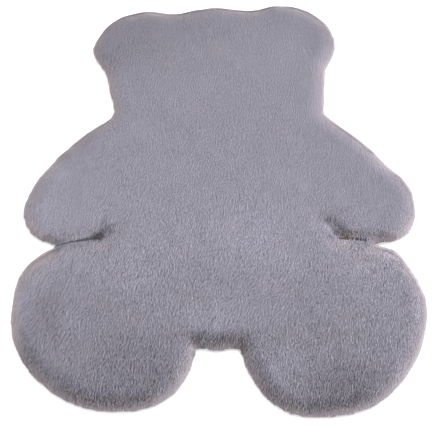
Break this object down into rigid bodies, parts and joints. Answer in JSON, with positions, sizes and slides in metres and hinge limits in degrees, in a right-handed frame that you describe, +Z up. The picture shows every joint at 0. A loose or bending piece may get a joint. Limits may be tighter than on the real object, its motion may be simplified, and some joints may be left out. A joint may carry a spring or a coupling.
{
  "type": "bear shaped kids rug",
  "caption": "Flat padded plush rug for a child's room, cut to the outline of a teddy bear with rounded edges and a flat underside.",
  "frame": {"origin": "on the floor under the centre of the outline's bounding box", "axes": "+Z up out of the pile, +Y towards the crown of the head, +X towards the arm on the right of the picture"},
  "size_m": [1, 1.2404, 0.0278],
  "materials": {
    "grey_plush": "short dense pile, matt with a soft sheen"
  },
  "bodies": {
    "root": {"plush_pad": "grey_plush"}
  },
  "joints": []
}
